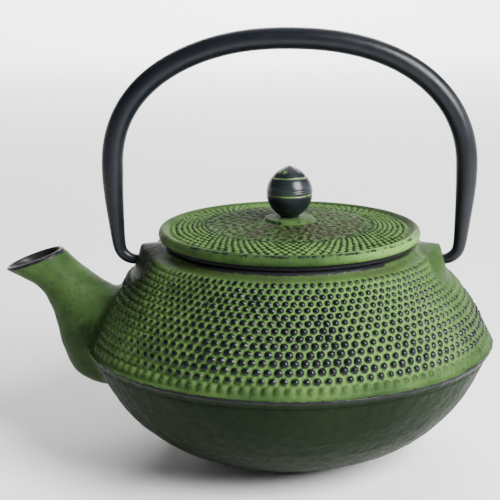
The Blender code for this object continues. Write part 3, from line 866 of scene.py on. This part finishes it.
def make_screw(steel):
    """A pan head screw with a cross recess, up through the lid into the knob."""
    shank = even_line(SCREW_SHANK, 0.25)
    threaded = shank[:, 1] > THREAD_FROM
    thread = THREAD_DEPTH * np.cos(TURN * shank[:, 1] / THREAD_PITCH)
    shank[:, 0] += np.where(threaded, thread * 0.9 - 0.1, 0.0)
    shell = Shell()
    rings = shell.add(turned([*SCREW_HEAD, *shank[1:]], SCREW_SIDES))
    angles = TURN * np.arange(SCREW_SIDES) / SCREW_SIDES
    arm = RECESS_RADIUS * np.maximum(np.abs(np.cos(2 * angles)) ** 6, 0.32)
    recess = turned(RECESS[::-1], SCREW_SIDES)
    recess[..., :2] *= arm[:, None]
    cross = shell.add(recess)
    shell.close(cross[0], (0, 0, RECESS_END), end=False)
    shell.grid(np.vstack([cross, rings]))
    shell.close(rings[-1], (0, 0, SCREW_SHANK[-1][1]))
    return make_piece("screw_pan_head", shell, [steel], "lid", ["knob_screw"],
                      sharp_deg=STEEL_SHARP_DEG)


def closed_ring(grid):
    """The shell of a ring whose grid of points goes right round its section."""
    shell = Shell()
    rings = shell.add(grid)
    shell.grid(np.vstack([rings, rings[:1]]))
    return shell


def make_washer(steel):
    """A plain washer with its edges broken."""
    return make_piece("washer_plain", closed_ring(turned(WASHER, SCREW_SIDES)), [steel], "lid",
                      ["knob_washer"], sharp_deg=STEEL_SHARP_DEG)


# ---- the bail ----
# Points up the leg from the tip of its hook: x, z and the bar's radius.
BAIL_LEG = [(57.6, 79.8, 1.75), (62.4, 79.8, 2.05), (65.6, 80.9, 2.3), (67.8, 83.2, 2.45),
            (68.7, 86.6, 2.65), (69.2, 91.5, 2.95), (69.7, 98.0, 3.35), (70.2, 105.0, 3.8),
            (70.5, 112.0, 4.15)]
BAIL_HALF_WIDTH = 70.5
BAIL_ARCH_Z = 117.0
BAIL_ARCH_RISE = 51.3
BAIL_ARCH_POWER = 2.2
BAIL_RADIUS = 4.3
BAIL_RINGS = 300
BAIL_SIDES = 40
BAIL_UNEVEN = 0.012  # as a share of the bar's radius
BAIL_WAVE = 9.0  # length over which the unevenness turns by one radian
BAIL_TIP = [(0.85, 0.25), (0.55, 0.5)]  # rings of a rounded tip: share of the radius, distance ahead
BAIL_TIP_LENGTH = 0.6


def bail_line():
    """(x, z, bar radius) from the left hook's tip over the arch to the right hook's tip."""
    angles = np.linspace(0, math.pi / 2, 48)
    x = BAIL_HALF_WIDTH * np.abs(np.cos(angles)) ** (2 / BAIL_ARCH_POWER)
    z = BAIL_ARCH_Z + BAIL_ARCH_RISE * np.sin(angles) ** (2 / BAIL_ARCH_POWER)
    arch = np.stack([x, z, np.full(len(x), BAIL_RADIUS)], axis=1)
    half = np.vstack([smooth_line(BAIL_LEG, 8), arch])
    return np.vstack([half * [-1, 1, 1], half[::-1][1:]])


def bail_tip(line, travel, ring, way):
    """Rings that round a tip of the bar off, from its last ring outwards, and the tip's point."""
    centre = np.array([line[0], 0.0, line[1]])
    ahead = np.array([travel[0], 0.0, travel[1]]) * way
    rings = [centre + (ring - centre) * share + ahead * step for share, step in BAIL_TIP]
    return rings, centre + ahead * BAIL_TIP_LENGTH


def make_bail(lacquer):
    """The round bar, with rounded tips and the slight unevenness of a bent rod."""
    line = bail_line()
    lengths = path_lengths(line[:, :2])
    marks = np.linspace(0, lengths[-1], BAIL_RINGS)
    line = table_at(marks, lengths, line)
    travel = np.gradient(line[:, :2], axis=0)
    travel /= np.linalg.norm(travel, axis=1)[:, None]
    angles = TURN * np.arange(BAIL_SIDES) / BAIL_SIDES
    wave = np.sin(marks / BAIL_WAVE)[:, None] * np.cos(angles)
    radius = line[:, 2:] * (1 + BAIL_UNEVEN * wave)
    x = line[:, :1] - travel[:, 1:] * radius * np.cos(angles)
    z = line[:, 1:2] + travel[:, :1] * radius * np.cos(angles)
    rows = np.stack([x, -radius * np.sin(angles), z], axis=-1)
    first, first_tip = bail_tip(line[0], travel[0], rows[0], -1)
    last, last_tip = bail_tip(line[-1], travel[-1], rows[-1], 1)
    shell = Shell()
    rings = shell.add(np.concatenate([first[::-1], rows, last]))
    shell.close(rings[0], first_tip, end=False)
    shell.grid(rings)
    shell.close(rings[-1], last_tip)
    return make_piece("bail_bar", shell, [lacquer], "bail", ["bail_handle"])


# ---- the infuser ----
INFUSER_SIDES = 180
INFUSER_FLANGE = [(41.05, 73.0), (41.2, 72.9), (41.45, 73.0), (41.5, 73.3), (41.5, 77.2), (41.75, 77.6),
                  (41.85, 78.0), (41.75, 78.4), (41.5, 78.8), (41.5, 83.7), (41.65, 84.1), (42.1, 84.3),
                  (45.0, 84.3), (45.5, 84.15), (45.95, 84.3), (46.1, 84.7), (45.95, 85.1), (45.5, 85.25),
                  (45.0, 85.1), (42.0, 85.1), (41.4, 84.9), (41.05, 84.4), (41.0, 83.8), (41.0, 78.8),
                  (41.25, 78.4), (41.35, 78.0), (41.25, 77.6), (41.0, 77.2), (41.0, 73.3)]
INFUSER_BAND = [(37.5, 27.05), (37.6, 27.0), (40.8, 27.0), (41.3, 27.2), (41.5, 27.7), (41.5, 32.0),
                (41.4, 32.4), (41.2, 32.5), (41.0, 32.3), (41.0, 28.0), (40.6, 27.5), (37.6, 27.5),
                (37.5, 27.45)]
BAND_CRIMPS = 36
BAND_CRIMP_DEPTH = 0.16
WIRE_RADIUS = 0.24
WIRE_SIDES = 4
WIRE_LIFT = 0.22  # how far a wire swings to pass over or under another
MESH_RADIUS = 40.45
MESH_FROM = 28.7
MESH_TO = 83.0
MESH_PILLARS = 204  # upright wires
MESH_HOOPS = 44
DISC_RADIUS = 39.9
DISC_Z = 28.1
DISC_WIRES = 62  # wires each way in the bottom


def make_flange(steel):
    """The infuser's collar, with a bead pressed round it and its flange rolled at the edge."""
    outline = even_line(smooth_line([*INFUSER_FLANGE, INFUSER_FLANGE[0]], 3), 0.35)[:-1]
    return make_piece("infuser_flange", closed_ring(turned(outline, INFUSER_SIDES)), [steel], "infuser",
                      ["infuser_rim"])


def make_band(steel):
    """The band crimped over the lower edge of the mesh."""
    outline = even_line([*INFUSER_BAND, INFUSER_BAND[0]], 0.4)[:-1]
    columns = INFUSER_SIDES * 2
    grid = turned(outline, columns)
    upright = smooth_step(28.5, 29.5, outline[:, 1]) * smooth_step(32.4, 31.5, outline[:, 1])
    crimp = np.maximum(np.cos(BAND_CRIMPS * TURN * np.arange(columns) / columns), 0) ** 3
    shrink = 1 - upright[:, None] * BAND_CRIMP_DEPTH * crimp / np.hypot(grid[..., 0], grid[..., 1])
    grid[..., :2] *= shrink[..., None]
    return make_piece("infuser_crimped_band", closed_ring(grid), [steel], "infuser", ["infuser_band"])


def add_wire(shell, line, up):
    """A closed wire along an open line of points; up is any direction off the line."""
    travel = np.gradient(line, axis=0)
    travel /= np.linalg.norm(travel, axis=1)[:, None]
    side = np.cross(travel, up)
    side /= np.linalg.norm(side, axis=1)[:, None]
    other = np.cross(side, travel)
    angles = TURN * np.arange(WIRE_SIDES) / WIRE_SIDES
    ring = side[:, None] * np.cos(angles)[:, None] + other[:, None] * np.sin(angles)[:, None]
    numbers = shell.add(line[:, None] + ring * WIRE_RADIUS)
    shell.grid(numbers[:, ::-1])
    shell.faces.extend([numbers[0].tolist(), numbers[-1][::-1].tolist()])
    shell.kinds.extend([0, 0])


def make_mesh_wall(steel):
    """The woven wall: upright wires that pass in front of and behind the hoops in turn."""
    shell = Shell()
    heights = np.linspace(MESH_FROM, MESH_TO, MESH_HOOPS)
    weave = WIRE_LIFT * (-1.0) ** np.arange(MESH_HOOPS)
    for pillar in range(MESH_PILLARS):
        angle = TURN * pillar / MESH_PILLARS
        radius = MESH_RADIUS + weave * (-1) ** pillar
        line = np.stack([radius * math.cos(angle), radius * math.sin(angle), heights], axis=1)
        add_wire(shell, line, (-math.sin(angle), math.cos(angle), 0.0))
    angles = TURN * np.arange(MESH_PILLARS) / MESH_PILLARS
    sides = TURN * np.arange(WIRE_SIDES) / WIRE_SIDES
    for hoop, height in enumerate(heights):
        radius = MESH_RADIUS - weave[hoop] * (-1.0) ** np.arange(MESH_PILLARS)
        tube = radius[None] + WIRE_RADIUS * np.cos(sides)[:, None]
        level = np.broadcast_to(height + WIRE_RADIUS * np.sin(sides)[:, None], tube.shape)
        rings = shell.add(np.stack([tube * np.cos(angles), tube * np.sin(angles), level], axis=-1))
        shell.grid(np.vstack([rings, rings[:1]]))
    return make_piece("infuser_mesh_wall", shell, [steel], "infuser", ["infuser_wall"])


def make_mesh_disc(steel):
    """The woven bottom, held by the band."""
    shell = Shell()
    places = (np.arange(DISC_WIRES) - (DISC_WIRES - 1) / 2) * 2 * DISC_RADIUS / DISC_WIRES
    for axis in (0, 1):
        for number, place in enumerate(places):
            crossings = np.flatnonzero(np.hypot(places, place) < DISC_RADIUS)
            lift = WIRE_LIFT * (-1.0) ** (crossings + number + axis)
            line = np.zeros((len(crossings), 3))
            line[:, axis] = places[crossings]
            line[:, 1 - axis] = place
            line[:, 2] = DISC_Z + lift
            if len(line) > 1:
                add_wire(shell, line, (0.0, 0.0, 1.0))
    return make_piece("infuser_mesh_disc", shell, [steel], "infuser", ["infuser_bottom"])


# ---- materials ----
class Paint:
    """Short forms for the nodes that these materials are made of."""

    def __init__(self, name):
        self.material = bpy.data.materials.new(name)
        self.material.use_nodes = True
        self.tree = self.material.node_tree
        self.place = self.node("ShaderNodeTexCoord", "Object", {})

    def node(self, kind, output, inputs, **settings):
        """Adds a node, feeds its inputs and returns one of its outputs."""
        made = self.tree.nodes.new(kind)
        for key, value in settings.items():
            setattr(made, key, value)
        self.feed(made, inputs)
        return made.outputs[output]

    def feed(self, node, inputs):
        for key, value in inputs.items():
            if isinstance(value, bpy.types.NodeSocket):
                self.tree.links.new(value, node.inputs[key])
            else:
                node.inputs[key].default_value = value

    def noise(self, size_mm, detail=3.0, rough=0.55, twist=0.0):
        """A random pattern from 0 to 1 whose features are about size_mm across."""
        inputs = {"Vector": self.place, "Scale": 0.5 / (size_mm * MM), "Detail": detail,
                  "Roughness": rough, "Distortion": twist}
        return self.node("ShaderNodeTexNoise", "Fac", inputs)

    def pits(self, size_mm):
        """Distance from scattered points about size_mm apart, in units of that size."""
        inputs = {"Vector": self.place, "Scale": 1 / (size_mm * MM)}
        return self.node("ShaderNodeTexVoronoi", "Distance", inputs, feature="SMOOTH_F1")

    def value(self, name):
        """A value that make_piece() stored with the mesh's points, or 0 where it stored none."""
        return self.node("ShaderNodeAttribute", "Fac", {}, attribute_name=name)

    def span(self, value, low, high, start=0.0, end=1.0):
        """Maps low..high smoothly to start..end."""
        inputs = {"Value": value, "From Min": low, "From Max": high, "To Min": start, "To Max": end}
        return self.node("ShaderNodeMapRange", "Result", inputs, interpolation_type="SMOOTHSTEP")

    def sum(self, a, b, operation="ADD"):
        return self.node("ShaderNodeMath", 0, {0: a, 1: b}, operation=operation)

    def mix(self, share, a, b):
        """Colour a where share is 0 and colour b where it is 1."""
        a, b = [c if isinstance(c, bpy.types.NodeSocket) else (*c, 1.0) for c in (a, b)]
        return self.node("ShaderNodeMix", 2, {0: share, 6: a, 7: b}, data_type="RGBA")

    def blend(self, share, a, b):
        """Number a where share is 0 and number b where it is 1."""
        return self.node("ShaderNodeMix", 0, {0: share, 2: a, 3: b}, data_type="FLOAT")

    def emboss(self, height, depth_mm, below=None, strength=1.0):
        """A bump of the given depth, over another bump if there is one."""
        inputs = {"Strength": strength, "Height": height, "Distance": depth_mm * MM}
        if below is not None:
            inputs["Normal"] = below
        return self.node("ShaderNodeBump", "Normal", inputs)

    def finish(self, colour, rough, normal, specular=0.5, metal=0.0):
        inputs = {"Base Color": colour, "Roughness": rough, "Metallic": metal,
                  "Specular IOR Level": specular}
        if normal is not None:
            inputs["Normal"] = normal
        self.feed(self.tree.nodes["Principled BSDF"], inputs)
        return self.material


GREEN_LIGHT = (0.058, 0.110, 0.031)
GREEN_MID = (0.027, 0.055, 0.017)
# both the darkest specks of the green and the colour of painted shade
GREEN_DEEP_AND_SHADE = (0.0056, 0.0096, 0.0048)
# painted light: the lighter green of lit valleys, nail tops and rim
GREEN_PAINTED_LIGHT = (0.112, 0.218, 0.054)
# painted shade in hollows
GREEN_HOLLOW_SHADE = (0.005, 0.011, 0.004)
BLACK_WEAR = (0.004, 0.006, 0.006)
BROWN_WASH = (0.031, 0.028, 0.018)
BARE_IRON = (0.010, 0.010, 0.012)
ENAMEL = ((0.010, 0.010, 0.011), (0.022, 0.021, 0.020))
KNOB_BLACK = ((0.007, 0.009, 0.012), (0.014, 0.021, 0.018))
KNOB_FILM = (0.03, 0.07, 0.015)
KNOB_GREEN = (0.075, 0.125, 0.034)
BAIL_BLACK = ((0.003, 0.004, 0.006), (0.006, 0.008, 0.011))
BAIL_CHIP = (0.05, 0.05, 0.05)
STEEL = (0.62, 0.62, 0.60)
WIRE_STEEL = (0.52, 0.52, 0.50)
FLOOR = ((0.88, 0.88, 0.88), (0.91, 0.91, 0.91))


def green_iron(name, gloss, bare_gloss):
    """Green enamel over cast iron: rubbed black on the nails, bare on edges, brown in places; the green
    also carries painted shade and painted light.
    """
    paint = Paint(name)
    speck = paint.noise(0.9, 2.0, 0.6)
    green = paint.mix(paint.span(paint.noise(16.0, 4.0, 0.6, 0.4), 0.35, 0.68), GREEN_MID, GREEN_LIGHT)
    # pale: painted light, in the shoulder's valleys, on the lid's nail tops and at the lid rim's right
    # front
    green = paint.mix(paint.value("pale"), green, GREEN_PAINTED_LIGHT)
    green = paint.mix(paint.span(speck, 0.56, 0.74, 0.0, 0.45), green, GREEN_DEEP_AND_SHADE)
    # shade: painted shade with some deeper paint on the pot's bowl, neck and ears; darker low on the spout
    # and in its rough patches; an even light tone on the lid
    green = paint.mix(paint.value("shade"), green, GREEN_DEEP_AND_SHADE)
    # painted shade in the hollows of the lid, darkest at the lowest points
    hollow_shade = paint.sum(paint.value("hollow_shade"), paint.span(speck, 0.3, 0.7, -0.12, 0.12))
    green = paint.mix(paint.span(hollow_shade, 0.46, 0.70), green, GREEN_HOLLOW_SHADE)
    cloud = paint.span(paint.noise(9.0, 5.0, 0.65, 0.6), 0.38, 0.62, 0.0, 0.8)
    green = paint.mix(paint.sum(paint.value("wash"), cloud, operation="MULTIPLY"), green, BROWN_WASH)
    ragged = paint.span(paint.noise(0.8, 3.0, 0.7), 0.25, 0.75, -0.09, 0.09)
    spread = paint.span(paint.noise(22.0, 2.0), 0.3, 0.7, -0.11, 0.09)
    rub = paint.span(paint.sum(paint.value("rub"), paint.sum(ragged, spread)), 0.20, 0.47)
    chipped = paint.span(paint.noise(1.1, 4.0, 0.7), 0.25, 0.75, -0.35, 0.35)
    bare = paint.span(paint.sum(paint.value("bare"), chipped), 0.42, 0.62)
    colour = paint.mix(bare, paint.mix(rub, green, BLACK_WEAR), BARE_IRON)
    rough = paint.blend(rub, paint.span(speck, 0.3, 0.7, 0.38, 0.5), 0.2)
    rough = paint.blend(bare, rough, 0.32)
    lumpy = paint.blend(paint.value("shade"), 0.35, 1.0)
    skin = paint.emboss(paint.noise(1.7, 3.0, 0.6), 0.45, strength=lumpy)
    skin = paint.emboss(paint.pits(1.3), 0.05, skin)
    skin = paint.emboss(paint.noise(0.35, 2.0), 0.03, skin)
    shine = paint.blend(bare, paint.blend(rub, gloss, 0.16), bare_gloss)
    return paint.finish(colour, rough, skin, shine)


def black_enamel():
    """The inside: black enamel with a soft orange peel."""
    paint = Paint("black_enamel")
    rough = paint.span(paint.noise(1.5), 0.3, 0.7, 0.3, 0.42)
    peel = paint.emboss(paint.noise(1.4), 0.08)
    return paint.finish(paint.mix(paint.noise(6.0), *ENAMEL), rough, peel, 0.15)


def knob_lacquer():
    """Black lacquer, with green left in the grooves and a trace of it over the rest."""
    paint = Paint("knob_lacquer")
    black = paint.mix(paint.span(paint.noise(5.0, 4.0, 0.6), 0.4, 0.7), *KNOB_BLACK)
    film = paint.span(paint.noise(2.2, 4.0, 0.7, 0.5), 0.62, 0.75, 0.0, 0.35)
    ragged = paint.span(paint.noise(1.5, 3.0, 0.6), 0.3, 0.7, -0.3, 0.3)
    green = paint.span(paint.sum(paint.value("paint"), ragged), 0.35, 0.75)
    colour = paint.mix(green, paint.mix(film, black, KNOB_FILM), KNOB_GREEN)
    skin = paint.emboss(paint.noise(1.2, 2.0), 0.03)
    return paint.finish(colour, paint.blend(green, 0.3, 0.5), skin, 0.3)


def bail_lacquer():
    """Satin black lacquer on a drawn bar, with fine dust and small chips."""
    paint = Paint("bail_lacquer")
    chip = paint.span(paint.noise(1.0, 4.0, 0.7), 0.70, 0.74, 0.0, 0.6)
    colour = paint.mix(chip, paint.mix(paint.noise(12.0, 4.0), *BAIL_BLACK), BAIL_CHIP)
    rough = paint.span(paint.noise(4.0, 5.0, 0.7), 0.3, 0.7, 0.26, 0.40)
    skin = paint.emboss(paint.noise(1.3, 3.0), 0.05)
    return paint.finish(colour, rough, skin, 0.22)


def brushed_steel(name, colour, rough):
    """Steel with fine brush marks and a little darker in patches."""
    paint = Paint(name)
    tone = paint.mix(paint.noise(3.0, 4.0), colour, tuple(0.75 * c for c in colour))
    dull = paint.span(paint.noise(1.0), 0.3, 0.7, rough, rough + 0.15)
    return paint.finish(tone, dull, paint.emboss(paint.noise(0.25, 3.0), 0.01), metal=1.0)


# ---- floor, light and camera ----
FLOOR_FLAT = [300.0, 900.0, 1700.0]  # radii of the floor's flat rings
FLOOR_CURVE = 900.0  # radius of its rise at the edge
FLOOR_SIDES = 96
CENTRE = (0.0, 0.0, 0.08)  # in metres, as all the places of the lights and the camera
LIGHTS = [("key", (0.65, -0.545, 0.64), CENTRE, (0.5, 0.6), 41.0),
          ("side", (1.0, 0.1, 0.35), CENTRE, (0.5, 0.5), 2.7),
          ("top", (0.1, 0.25, 1.1), CENTRE, (0.9, 0.7), 2.7),
          ("back", (0.0, 2.6, 1.9), (0.0, 3.2, 0.3), (3.0, 1.0), 360.0)]
WORLD_STRENGTH = 0.055
CAMERA_PLACE = (0.0, -0.5206, 0.2079)
CAMERA_DOWN_DEG = 13.44
CAMERA_LENS = 95.4
CAMERA_SHIFT = -0.079


def make_floor():
    """A pale round floor that curves up far away, so that no horizon shows."""
    edge = FLOOR_FLAT[-1]
    flat = [(radius, 0.0) for radius in FLOOR_FLAT]
    rise = arc_line((edge, FLOOR_CURVE), FLOOR_CURVE, -90, -10, 16)
    shell = Shell()
    rings = shell.add(turned([*flat, *rise[1:]], FLOOR_SIDES))
    shell.close(rings[0], (0, 0, 0), end=False)
    shell.grid(rings)
    mesh = bpy.data.meshes.new("floor")
    mesh.from_pydata((shell.all_points() * MM).tolist(), [], [face[::-1] for face in shell.faces])
    mesh.shade_smooth()
    paint = Paint("floor_pale")
    mesh.materials.append(paint.finish(paint.mix(paint.noise(400.0), *FLOOR), 0.7, None))
    floor = bpy.data.objects.new("floor", mesh)
    bpy.context.scene.collection.objects.link(floor)


def make_light(name, place, target, size, watts):
    """A white rectangular soft light that faces its target."""
    data = bpy.data.lights.new(name, "AREA")
    data.shape = "RECTANGLE"
    data.size, data.size_y = size
    data.energy = watts
    light = bpy.data.objects.new(name, data)
    light.location = place
    light.rotation_mode = "QUATERNION"
    light.rotation_quaternion = (Vector(target) - Vector(place)).to_track_quat("-Z", "Y")
    bpy.context.scene.collection.objects.link(light)


def make_world():
    world = bpy.data.worlds.new("studio")
    world.use_nodes = True
    background = world.node_tree.nodes["Background"]
    background.inputs["Color"].default_value = (1.0, 1.0, 1.0, 1.0)
    background.inputs["Strength"].default_value = WORLD_STRENGTH
    bpy.context.scene.world = world


def make_camera():
    data = bpy.data.cameras.new("camera")
    data.lens = CAMERA_LENS
    data.sensor_width = 36.0
    data.shift_x = CAMERA_SHIFT
    data.clip_start = 0.01
    camera = bpy.data.objects.new("camera", data)
    camera.location = CAMERA_PLACE
    camera.rotation_euler = (math.radians(90 - CAMERA_DOWN_DEG), 0.0, 0.0)
    bpy.context.scene.collection.objects.link(camera)
    bpy.context.scene.camera = camera


def whole_outline():
    """The casting's outside without nails, ears or spout, climbing from the base to the rim."""
    climb, _ = pot_climb()
    line = np.vstack([[(BASE_RADIUS, 0.0)], even_line(smooth_line(BOWL), 2.0), even_line(climb, 0.8),
                      [(RIM_OUTER, RIM_TOP)]])
    return line[np.concatenate([[True], np.diff(line[:, 1]) > 0.01])]


def main():
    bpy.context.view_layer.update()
    iron = green_iron("green_iron", gloss=0.03, bare_gloss=0.12)
    lid_iron = green_iron("green_iron_lid", gloss=0.012, bare_gloss=0.04)
    enamel = black_enamel()
    steel = brushed_steel("steel_brushed", STEEL, rough=0.3)
    sections = spout_sections()
    outline = whole_outline()
    make_pot(sections, outline, iron, enamel)
    make_spout(sections, outline, iron, enamel)
    make_lid(lid_iron, enamel)
    make_knob(knob_lacquer())
    make_screw(steel)
    make_washer(steel)
    make_bail(bail_lacquer())
    mesh_steel = brushed_steel("steel_wire", WIRE_STEEL, rough=0.35)
    make_flange(steel)
    make_band(steel)
    make_mesh_wall(mesh_steel)
    make_mesh_disc(mesh_steel)
    make_floor()
    for light in LIGHTS:
        make_light(*light)
    make_world()
    make_camera()


main()
